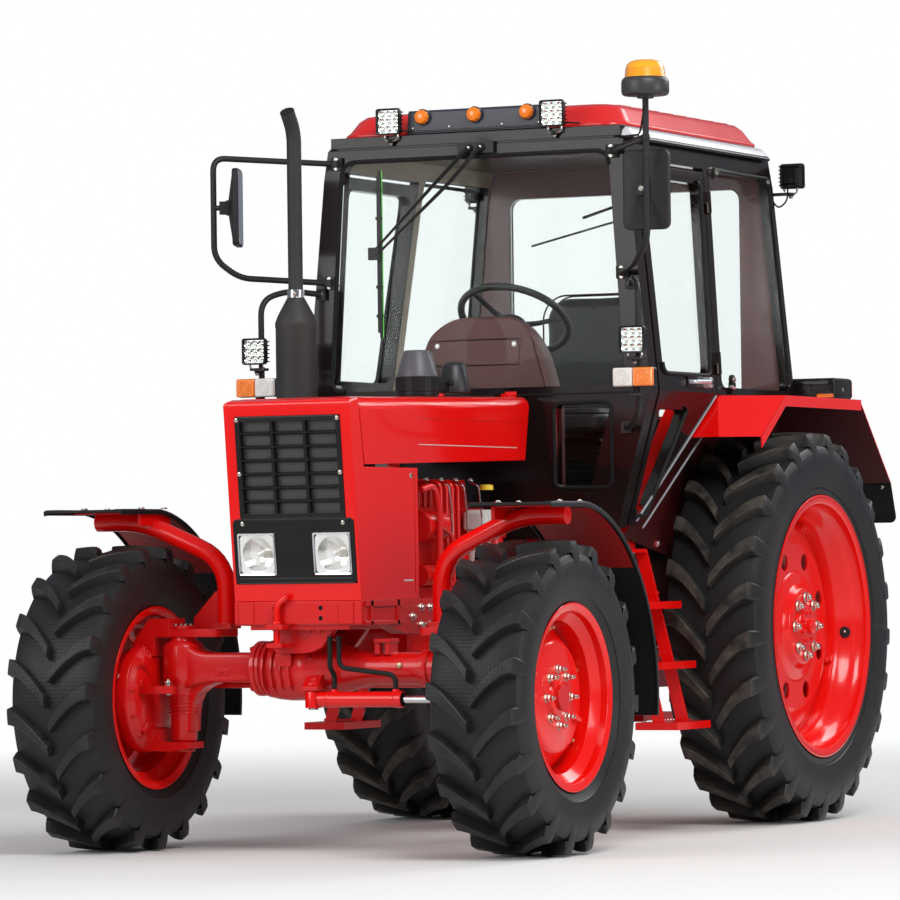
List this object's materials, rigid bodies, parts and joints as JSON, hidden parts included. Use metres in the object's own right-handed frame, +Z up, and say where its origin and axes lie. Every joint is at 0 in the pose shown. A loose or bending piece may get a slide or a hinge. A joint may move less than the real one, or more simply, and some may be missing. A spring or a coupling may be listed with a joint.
{
  "type": "farm tractor",
  "caption": "Compact four-wheel-drive farm tractor with a glazed cab, lifting bonnet, entry steps, steered front wheels with mudguards and a rear three-point linkage.",
  "frame": {"origin": "on the ground below the middle of the overall length", "axes": "+X forward, +Y to the driver's left, +Z up"},
  "size_m": [3.9297, 2, 2.846],
  "materials": {
    "paint_red": "gloss",
    "rim_red": "gloss",
    "frame_black": "satin",
    "dark_grey": "satin",
    "casting_red": "gloss",
    "cast_black": "satin",
    "tyre_black": "matte",
    "rubber_black": "matte",
    "plastic_black": "matte",
    "dash_maroon": "matte",
    "rim_white": "satin",
    "seat_cloth": "woven",
    "glass_clear": "polished",
    "lamp_lens": "polished",
    "amber_lens": "polished",
    "steel_bright": "polished",
    "alloy": "satin"
  },
  "bodies": {
    "chassis": {"front_axle": "casting_red", "steering_hoses": "rubber_black", "steering_cylinder": "casting_red", "front_beam": "casting_red", "engine": "casting_red", "transmission": "casting_red", "hood_frame": "paint_red", "grille": "plastic_black", "radiator": "alloy", "exhaust": "dark_grey", "cab_front": "frame_black", "cab_sides": "frame_black", "cab_rear": "frame_black", "cab_floor": "rubber_black", "cab_glass": "glass_clear", "roof": "paint_red", "roof_rim": "rim_white", "seat_pedestal": "frame_black", "seat_pads": "seat_cloth", "dashboard": "dash_maroon", "rear_fenders": "paint_red", "mud_flaps": "rubber_black", "fuel_tanks": "plastic_black", "entry_steps": "paint_red", "mirrors": "plastic_black", "beacon": "amber_lens", "lamps": "lamp_lens", "fender_boxes": "plastic_black", "drawbar": "cast_black"},
    "knuckle_left_body": {"knuckle_left": "casting_red", "front_fender_left": "plastic_black"},
    "knuckle_right_body": {"knuckle_right": "casting_red", "front_fender_right": "plastic_black"},
    "front_wheel_left": {"front_tyre_left": "tyre_black", "front_rim_left": "rim_red"},
    "front_wheel_right": {"front_tyre_right": "tyre_black", "front_rim_right": "rim_red"},
    "rear_wheel_left": {"rear_tyre_left": "tyre_black", "rear_rim_left": "rim_red"},
    "rear_wheel_right": {"rear_tyre_right": "tyre_black", "rear_rim_right": "rim_red"},
    "track_rod_body": {"track_rod": "casting_red"},
    "steering_rod_body": {"steering_rod": "steel_bright"},
    "steering_wheel_body": {"steering_wheel": "plastic_black"},
    "door_left_body": {"door_left": "frame_black", "door_glass_left": "glass_clear"},
    "door_right_body": {"door_right": "frame_black", "door_glass_right": "glass_clear"},
    "bonnet_body": {"bonnet": "paint_red", "pre_cleaner": "plastic_black"},
    "lower_links_body": {"lower_links": "cast_black"},
    "lift_arms_body": {"lift_arms": "cast_black"},
    "lift_rods_body": {"lift_rods": "cast_black"},
    "top_link_body": {"top_link": "cast_black"}
  },
  "joints": [
    {"name": "steer_left", "type": "hinge", "parent": "chassis", "child": "knuckle_left_body", "pos_m": [1.417, 0.56, 0.548], "axis": [0, 0, 1], "range_deg": [-35, 35]},
    {"name": "steer_right", "type": "hinge", "parent": "chassis", "child": "knuckle_right_body", "pos_m": [1.417, -0.56, 0.548], "axis": [0, 0, 1], "range_deg": [-35, 35]},
    {"name": "wheel_front_left_spin", "type": "hinge", "parent": "knuckle_left_body", "child": "front_wheel_left", "pos_m": [1.417, 0.819, 0.548], "axis": [0, 1, 0], "continuous": true},
    {"name": "wheel_front_right_spin", "type": "hinge", "parent": "knuckle_right_body", "child": "front_wheel_right", "pos_m": [1.417, -0.819, 0.548], "axis": [0, 1, 0], "continuous": true},
    {"name": "wheel_rear_left_spin", "type": "hinge", "parent": "chassis", "child": "rear_wheel_left", "pos_m": [-1.033, 0.7465, 0.755], "axis": [0, 1, 0], "continuous": true},
    {"name": "wheel_rear_right_spin", "type": "hinge", "parent": "chassis", "child": "rear_wheel_right", "pos_m": [-1.033, -0.7465, 0.755], "axis": [0, 1, 0], "continuous": true},
    {"name": "track_rod_turn", "type": "hinge", "parent": "knuckle_left_body", "child": "track_rod_body", "pos_m": [1.267, 0.56, 0.592], "axis": [0, 0, 1], "range_deg": [-35, 35]},
    {"name": "steering_rod_slide", "type": "slide", "parent": "chassis", "child": "steering_rod_body", "axis": [0, 1, 0], "range_m": [-0.075, 0.075]},
    {"name": "steering_wheel_turn", "type": "hinge", "parent": "chassis", "child": "steering_wheel_body", "pos_m": [-0.233, 0, 1.945], "axis": [-0.5592, 0, 0.829], "range_deg": [-350, 350]},
    {"name": "door_left_swing", "type": "hinge", "parent": "chassis", "child": "door_left_body", "pos_m": [-0.53119, 0.71672, 1.765], "axis": [-0.1088, -0.097, 0.9893], "range_deg": [0, 65]},
    {"name": "door_right_swing", "type": "hinge", "parent": "chassis", "child": "door_right_body", "pos_m": [-0.53119, -0.71672, 1.765], "axis": [0.1088, -0.097, -0.9893], "range_deg": [0, 65]},
    {"name": "bonnet_lift", "type": "hinge", "parent": "chassis", "child": "bonnet_body", "pos_m": [0.181, 0, 1.6455], "axis": [0, -1, 0], "range_deg": [0, 50]},
    {"name": "lower_links_lift", "type": "hinge", "parent": "chassis", "child": "lower_links_body", "pos_m": [-1.183, 0, 0.48], "axis": [0, 1, 0], "range_deg": [-18, 15]},
    {"name": "lift_arms_turn", "type": "hinge", "parent": "chassis", "child": "lift_arms_body", "pos_m": [-1.323, 0, 1.01], "axis": [0, 1, 0], "range_deg": [-35, 30]},
    {"name": "lift_rods_swing", "type": "hinge", "parent": "lift_arms_body", "child": "lift_rods_body", "pos_m": [-1.623, 0, 1.065], "axis": [0, 1, 0], "range_deg": [-30, 35]},
    {"name": "top_link_swing", "type": "hinge", "parent": "chassis", "child": "top_link_body", "pos_m": [-1.4033, 0, 0.88], "axis": [0, 1, 0], "range_deg": [-90, 0]}
  ],
  "couplings": [
    {"joint": "steer_right", "follows": "steer_left", "ratio": 1},
    {"joint": "track_rod_turn", "follows": "steer_left", "ratio": -1},
    {"joint": "steering_rod_slide", "follows": "steer_left", "m_per_rad": 0.1219},
    {"joint": "steering_wheel_turn", "follows": "steer_left", "ratio": 10},
    {"joint": "lift_arms_turn", "follows": "lower_links_lift", "ratio": 1.467},
    {"joint": "lift_rods_swing", "follows": "lower_links_lift", "ratio": -1.467}
  ]
}
